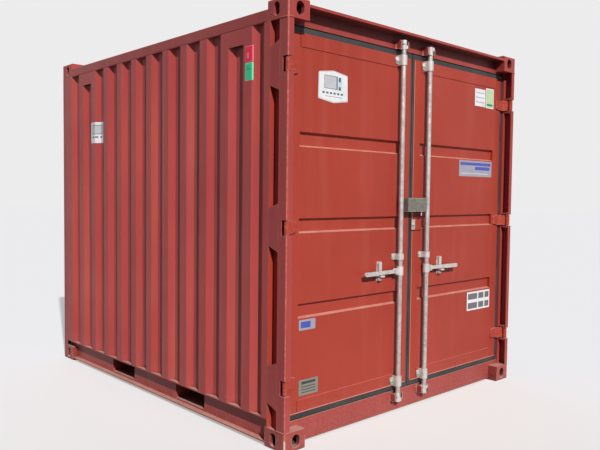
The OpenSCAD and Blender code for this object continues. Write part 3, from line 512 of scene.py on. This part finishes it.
def shield_label(body, middle, wide, high):
    """A white shield with a thin silver line inside its edge, a framed panel, a side strip and marks."""
    y, z = middle
    rise = 0.018
    corner = 0.007
    line = 0.0003
    lift = UNDER_VINYL
    for name, finish, inset, thickness in (("white_shield_label", WHITE_VINYL, 0.0, VINYL),
                                           ("shield_label_line", SILVER_VINYL, 0.003, line),
                                           ("shield_label_field", WHITE_VINYL, 0.005, BLOCK)):
        bm = patch(shield_outline(wide - 2 * inset, high - 2 * inset, rise), thickness, corner)
        placed(bm, DOOR_WAYS, Vector((LEAF_FACE + lift, y, z)))
        made_object(name, bm, finish, body)
        lift += thickness
    over = lift + BLOCK
    for name, finish, low_y, low_z, high_y, high_z, height in (
            ("frame", SLATE_VINYL, -0.078, -0.015, 0.036, 0.065, lift),
            ("side_panel", ICE_VINYL, 0.037, -0.018, 0.072, 0.062, lift),
            ("thin_stripe", SILVER_VINYL, -0.070, -0.062, 0.080, -0.058, lift),
            ("panel", PANEL_VINYL, -0.075, -0.012, 0.026, 0.062, over),
            ("head", SLATE_VINYL, 0.046, 0.034, 0.064, 0.061, over),
            ("foot", SLATE_VINYL, 0.046, -0.016, 0.064, 0.004, over)):
        block(f"shield_label_{name}", finish, body, (y + low_y, z + low_z), (y + high_y, z + high_z),
              lift=height)
    row_of_marks("shield_label_mark", CELL_VINYL, body, (y - 0.094, z - 0.046), (y + 0.096, z - 0.034), 6,
                 over)


def make_left_leaf_labels():
    body = "left_door"
    shield_label(body, (-0.776, 2.1425), 0.258, 0.195)
    label("silver_label", SILVER_VINYL, body, (-1.040, 0.677), (-0.905, 0.740))
    block("silver_label_block", BLUE_VINYL, body, (-1.025, 0.690), (-0.945, 0.728), BLOCK_CORNER)
    door_card("metal_data_plate", METAL_PLATE, body, (-1.038, 0.282), (-0.878, 0.378),
              LEAF_FACE, PLATE, PLATE_CORNER)
    ruled_lines("data_plate_line", DARK_VINYL, body, (-1.015, 0.292), (-0.900, 0.342), 3, 0.005, ON_PLATE)
    block("data_plate_bar", DARK_VINYL, body, (-1.015, 0.350), (-0.900, 0.366), lift=ON_PLATE)


def make_right_leaf_labels():
    body = "right_door"
    label("white_paper_label", WHITE_VINYL, body, (0.777, 2.182), (0.922, 2.315))
    ruled_lines("paper_label_line", SILVER_VINYL, body, (0.792, 2.195), (0.907, 2.303), 3, 0.006)
    label("green_label", WHITE_VINYL, body, (0.930, 2.178), (1.043, 2.332))
    block("green_label_field", PALE_GREEN_VINYL, body, (0.937, 2.185), (1.036, 2.325), BLOCK_CORNER)
    block("green_label_bar", DEEP_GREEN_VINYL, body, (0.945, 2.196), (1.028, 2.212), BLOCK_CORNER, ON_FIELD)
    label("long_silver_label", SILVER_VINYL, body, (0.585, 1.637), (1.035, 1.758))
    block("long_label_band", BLUE_VINYL, body, (0.600, 1.722), (1.020, 1.744), BLOCK_CORNER)
    block("long_label_block", BLUE_VINYL, body, (0.800, 1.688), (1.005, 1.714), BLOCK_CORNER)
    block("long_label_line", PANEL_VINYL, body, (0.610, 1.655), (0.990, 1.664))
    label("white_grid_label", WHITE_VINYL, body, (0.731, 0.595), (1.050, 0.740))
    cell_high = 0.046
    for row, z in enumerate((0.608, 0.680), 1):
        for column, (low, high) in enumerate(((0.744, 0.873), (0.890, 0.963), (0.980, 1.038)), 1):
            block(f"grid_label_cell_{row}{column}", CELL_VINYL, body, (low, z), (high, z + cell_high),
                  BLOCK_CORNER)


def drawn_out(bm, fresh, way):
    """Moves what an extrude has just made."""
    points = [piece for piece in fresh["geom"] if isinstance(piece, bmesh.types.BMVert)]
    bmesh.ops.translate(bm, vec=way, verts=points)


def draped(name, finish, low, high, layer=0, slope=FAR_SLOPE):
    """Vinyl folded over a slope of the left side wall, between two corners (X, Z).

    It is drawn up from its foot, a line that follows the wall, and then out to its thickness.
    """
    out = FOLDED_LIFT + layer * FOLDED_STEP
    bm = bmesh.new()
    foot = []
    for x in [low[0]] + [x for x in slope if low[0] < x < high[0]] + [high[0]]:
        share = min(max((x - slope[0]) / (slope[1] - slope[0]), 0.0), 1.0)
        foot.append(bm.verts.new((x, SIDE_FACE + share * (SIDE_SUNK - SIDE_FACE) - out, low[1])))
    edges = [bm.edges.new(pair) for pair in zip(foot, foot[1:])]
    drawn_out(bm, bmesh.ops.extrude_edge_only(bm, edges=edges), (0, 0, high[1] - low[1]))
    drawn_out(bm, bmesh.ops.extrude_face_region(bm, geom=bm.faces[:]), (0, -VINYL, 0))
    return made_object(name, bm, finish, "shell")


def side_block(name, finish, low, high, corner=0.0):
    """A flat block of colour on a folded label, between two corners (X, Z)."""
    bm = card(high[0] - low[0], high[1] - low[1], BLOCK, corner)
    face = SIDE_FACE - FOLDED_LIFT - 2 * FOLDED_STEP
    placed(bm, SIDE_WAYS, Vector(((low[0] + high[0]) / 2, face, (low[1] + high[1]) / 2)))
    return made_object(name, bm, finish, "shell")


def make_side_labels():
    """The white label of the recess near the rear, and the red and green ones near the door post."""
    draped("white_side_label", WHITE_VINYL, (-0.938, 1.885), (-0.766, 2.055))
    draped("side_label_frame", SLATE_VINYL, (-0.915, 1.957), (-0.800, 2.033), 1)
    draped("side_label_panel", PANEL_VINYL, (-0.911, 1.961), (-0.805, 2.028), 2)
    first_mark = -0.915
    mark_wide = 0.027
    mark_pitch = 0.042
    for i in range(3):
        start = first_mark + mark_pitch * i
        draped(f"side_label_mark_{i + 1}", CELL_VINYL, (start, 1.928), (start + mark_wide, 1.940), 1)
    rim_wide = 0.004
    for name, rim, finish, low, high in (("red_vent_label", PINK_VINYL, RED_VINYL, 2.266, 2.362),
                                         ("green_vent_label", MINT_VINYL, GREEN_VINYL, 2.158, 2.262)):
        draped(name, rim, (1.110, low), (1.182, high), 0, NEAR_SLOPE)
        draped(name + "_field", finish, (1.114, low + rim_wide), (1.177, high - rim_wide), 1, NEAR_SLOPE)
    round_end = 0.005
    side_block("red_vent_label_mark", PINK_VINYL, (1.130, 2.288), (1.146, 2.322), round_end)
    line_thick = 0.005
    for i, (end, z) in enumerate(((1.166, 2.222), (1.152, 2.236)), 1):
        side_block(f"green_vent_label_line_{i}", DEEP_GREEN_VINYL, (1.124, z), (end, z + line_thick))


def turned(bm, outline, ways, point, segments=24):
    """A round body on an axis along its own Z, from pairs of radius and height."""
    others = set(bm.verts)
    profile = [bm.verts.new((radius, 0, height)) for radius, height in outline]
    edges = [bm.edges.new(pair) for pair in zip(profile, profile[1:])]
    bmesh.ops.spin(bm, geom=profile + edges, cent=(0, 0, 0), axis=(0, 0, 1), angle=2 * math.pi,
                   steps=segments, use_merge=True)
    bmesh.ops.remove_doubles(bm, verts=[v for v in bm.verts if v not in others], dist=TOUCHING)
    fresh = [v for v in bm.verts if v not in others]
    bmesh.ops.transform(bm, matrix=Matrix.Translation(point) @ ways.to_4x4(), verts=fresh)


def domed_bolt(bm, point, radius, rise):
    """A wide washer with a domed head on it."""
    dome = [(0.86 * radius * math.cos(a), 0.2 * rise + 0.8 * rise * math.sin(a))
            for a in (math.radians(15 * i) for i in range(6))]
    outline = [(0, 0), (radius, 0), (radius, 0.2 * rise)] + dome + [(0, rise)]
    turned(bm, outline, DOOR_WAYS, point)


def hex_bolt(bm, point, radius, rise):
    """A washer, a six-sided head and the end of its thread."""
    washer = 0.003
    turned(bm, [(0, 0), (1.5 * radius, 0), (1.5 * radius, washer), (0, washer)], DOOR_WAYS, point)
    head = [(0, 0), (radius, 0), (radius, 0.8 * rise), (0.85 * radius, rise), (0, rise)]
    turned(bm, head, DOOR_WAYS, point, 6)
    thread = [(0, 0), (0.5 * radius, 0), (0.5 * radius, 1.4 * rise), (0, 1.4 * rise)]
    turned(bm, thread, DOOR_WAYS, point, 12)


def make_bolts():
    """Bolts of the bar brackets and of the catches on each leaf."""
    sleeve = 0.068
    plate = 0.006
    reach = 0.036
    catch_rise = 0.097
    catch_reach = 0.039
    for side in ("left", "right"):
        low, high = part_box(f"{side}_bar_brackets")
        bar_low, bar_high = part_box(f"{side}_lock_bar")
        handle_low, handle_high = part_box(f"{side}_handle")
        bar_y = (bar_low.y + bar_high.y) / 2
        top_z = high.z - sleeve / 2
        foot_z = low.z + sleeve / 2
        catch_z = (handle_low.z + handle_high.z) / 2 + catch_rise
        bm = bmesh.new()
        for way in (-1, 1):
            domed_bolt(bm, Vector((PROUD_FACE + plate, bar_y + way * reach, top_z)), *DOMED_BOLT)
            hex_bolt(bm, Vector((LEAF_FACE + plate, bar_y + way * catch_reach, catch_z)), *SMALL_BOLT)
        made_object(f"{side}_bracket_bolts", bm, ZINC, f"{side}_door")
        bm = bmesh.new()
        for way in (-1, 1):
            hex_bolt(bm, Vector((PROUD_FACE + plate, bar_y + way * reach, foot_z)), *FOOT_BOLT)
        made_object(f"{side}_foot_bolts", bm, BOLT_ZINC, f"{side}_door")


def make_seal_plate():
    """Small zinc plate with one bolt at the joint end of the seal bracket."""
    low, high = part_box("seal_bracket")
    plate = 0.003
    wide = 0.040
    inset = 0.002
    corner = 0.004
    door_card("seal_plate", ZINC_BAR, "right_door", (low.y, low.z + inset),
              (low.y + wide, high.z - inset), high.x, plate, corner)
    bm = bmesh.new()
    hex_bolt(bm, Vector((high.x + plate, low.y + wide / 2, (low.z + high.z) / 2)), *SEAL_BOLT)
    made_object("seal_plate_bolt", bm, BOLT_ZINC, "right_door")


def make_edge_highlights():
    """Painted highlights: thin pale strips along the lower bends of both leaves and along the bend of the
    right leaf beside the joint, where light catches them.
    """
    wide = 0.007
    thick = 0.001
    inset = 0.0005
    for side in ("left", "right"):
        low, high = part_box(f"{side}_door_frame")
        door_card(f"{side}_foot_highlight", EDGE_HIGHLIGHT_PAINT, f"{side}_door", (low.y + wide, low.z + inset),
                  (high.y - wide, low.z + wide), PROUD_FACE, thick, 0.0)
    door_card("right_side_highlight", EDGE_HIGHLIGHT_PAINT, "right_door", (low.y + inset, low.z + wide),
              (low.y + wide, high.z - wide), LEAF_FACE, thick, 0.0)


def make_lock_box_tab():
    """Small zinc tab that hangs from the lock box, right of its middle."""
    left_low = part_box("left_lock_box")[0]
    low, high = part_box("right_lock_box")
    wide = 0.009
    drop = 0.030
    thick = 0.003
    corner = 0.002
    behind_front = 0.015
    y = left_low.y + 0.80 * (high.y - left_low.y)
    door_card("lock_box_tab", ZINC, "right_door", (y - wide / 2, low.z - drop),
              (y + wide / 2, low.z), high.x - behind_front, thick, corner)


def weld_bead(bm, start, end, radius):
    """A hand-laid bead: a thin tube whose radius swells and shrinks along its way."""
    way = (end - start).normalized()
    turn = way.to_track_quat("Z", "X").to_matrix()
    length = (end - start).length
    ripple = 0.006
    steps = max(4, round(length / ripple))
    swells = [1 + 0.18 * math.sin(2.4 * i) + 0.08 * math.sin(5.1 * i + 1) for i in range(steps + 1)]
    bead = [(radius * swell, length * i / steps) for i, swell in enumerate(swells)]
    turned(bm, [(0, 0)] + bead + [(0, length)], turn, start, 8)


def make_welds():
    """Beads around the door posts where they meet the castings below and above."""
    low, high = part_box("door_post_angles")
    channel_low, channel_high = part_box("door_post_channels")
    heights = (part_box("bottom_corner_castings")[1].z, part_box("top_corner_castings")[0].z)
    edge = 0.010
    bead = 0.004
    lip = 0.042
    channel_from = 0.006
    channel_to = 0.040
    bm = bmesh.new()
    for sign in (-1, 1):
        side = sign * high.y
        ways = [((high.x, side - sign * edge), (high.x, side - sign * lip)),
                ((low.x, side), (high.x - edge, side))]
        ways += [((x, side - sign * channel_from), (x, side - sign * channel_to))
                 for x in (channel_low.x, channel_high.x)]
        for start, end in ways:
            for z in heights:
                weld_bead(bm, Vector((*start, z)), Vector((*end, z)), bead)
    made_object("post_welds", bm, FRAME_PAINT, "shell", True)


make_left_leaf_labels()
make_right_leaf_labels()
make_side_labels()
make_bolts()
make_seal_plate()
make_edge_highlights()
make_lock_box_tab()
make_welds()


def make_camera():
    forward = Vector((-math.sin(CAMERA_AZIMUTH) * math.cos(CAMERA_DOWN),
                      math.cos(CAMERA_AZIMUTH) * math.cos(CAMERA_DOWN), -math.sin(CAMERA_DOWN)))
    right = forward.cross(Vector((0, 0, 1))).normalized()
    up = right.cross(forward)
    rolled_right = right * math.cos(CAMERA_ROLL) + up * math.sin(CAMERA_ROLL)
    rolled_up = up * math.cos(CAMERA_ROLL) - right * math.sin(CAMERA_ROLL)
    ways = Matrix((rolled_right, rolled_up, -forward)).transposed()
    data = bpy.data.cameras.new("camera")
    data.lens = CAMERA_LENS
    camera = bpy.data.objects.new("camera", data)
    camera.matrix_world = Matrix.Translation(CAMERA_PLACE) @ ways.to_4x4()
    bpy.context.scene.collection.objects.link(camera)
    bpy.context.scene.camera = camera


def make_light():
    data = bpy.data.lights.new("sun", "SUN")
    data.energy = SUN_STRENGTH
    data.angle = SUN_SOFTNESS
    data.color = SUN_TINT
    towards = Vector((math.cos(SUN_HEIGHT) * math.cos(SUN_OFF_DOOR),
                      -math.cos(SUN_HEIGHT) * math.sin(SUN_OFF_DOOR), math.sin(SUN_HEIGHT)))
    sun = bpy.data.objects.new("sun", data)
    sun.rotation_euler = towards.to_track_quat("Z", "Y").to_euler()
    bpy.context.scene.collection.objects.link(sun)


def seen_directly(nodes, links):
    """1 for rays from the camera, from a shiny surface or through a clear one, 0 for light on the object."""
    path = nodes.new("ShaderNodeLightPath")
    either = path.outputs["Is Camera Ray"]
    for ray in ("Is Glossy Ray", "Is Transmission Ray"):
        larger = nodes.new("ShaderNodeMath")
        larger.operation = "MAXIMUM"
        links.new(either, larger.inputs[0])
        links.new(path.outputs[ray], larger.inputs[1])
        either = larger.outputs[0]
    return either


def make_sky():
    """Soft light, stronger on the sides that the sun leaves dark, and a pale backdrop."""
    world = bpy.data.worlds.new("studio")
    bpy.context.scene.world = world
    world.use_nodes = True
    nodes, links = world.node_tree.nodes, world.node_tree.links
    light = nodes["Background"]
    light.inputs["Color"].default_value = SKY_TINT
    way = nodes.new("ShaderNodeVectorMath")
    way.operation = "DOT_PRODUCT"
    way.inputs[1].default_value = SKY_BEHIND_WAY
    links.new(nodes.new("ShaderNodeTexCoord").outputs["Generated"], way.inputs[0])
    behind = nodes.new("ShaderNodeMapRange")
    for key, value in (("From Min", SKY_BEHIND_EDGE), ("From Max", 1.0),
                       ("To Min", SKY_AHEAD), ("To Max", SKY_BEHIND)):
        behind.inputs[key].default_value = value
    links.new(way.outputs["Value"], behind.inputs["Value"])
    links.new(behind.outputs["Result"], light.inputs["Strength"])
    seen = nodes.new("ShaderNodeBackground")
    seen.inputs["Color"].default_value = (BACKDROP, BACKDROP, BACKDROP, 1)
    seen.inputs["Strength"].default_value = 1.0
    mix = nodes.new("ShaderNodeMixShader")
    links.new(seen_directly(nodes, links), mix.inputs["Fac"])
    links.new(light.outputs["Background"], mix.inputs[1])
    links.new(seen.outputs["Background"], mix.inputs[2])
    links.new(mix.outputs["Shader"], nodes["World Output"].inputs["Surface"])


def make_floor():
    """A plain floor, darker as a source of light than it looks, that keeps the object's shadow."""
    bm = bmesh.new()
    bmesh.ops.create_circle(bm, cap_ends=True, segments=64, radius=FLOOR_RADIUS)
    mesh = bpy.data.meshes.new("studio_floor")
    bm.to_mesh(mesh)
    bm.free()
    f = Finish("floor_paint", roughness=1.0)
    f.shader.inputs["Specular IOR Level"].default_value = 0.0
    seen = seen_directly(f.tree_nodes, f.links)
    f.put(f.mix(seen, FLOOR_AS_LIGHT, FLOOR_AS_SEEN), f.shader.inputs["Base Color"])
    f.shader.inputs["Emission Color"].default_value = FLOOR_GLOW
    f.put(seen, f.shader.inputs["Emission Strength"])
    mesh.materials.append(f.material)
    floor = bpy.data.objects.new("studio_floor", mesh)
    bpy.context.scene.collection.objects.link(floor)


make_camera()
make_light()
make_sky()
make_floor()

bpy.context.scene.view_settings.view_transform = "Standard"
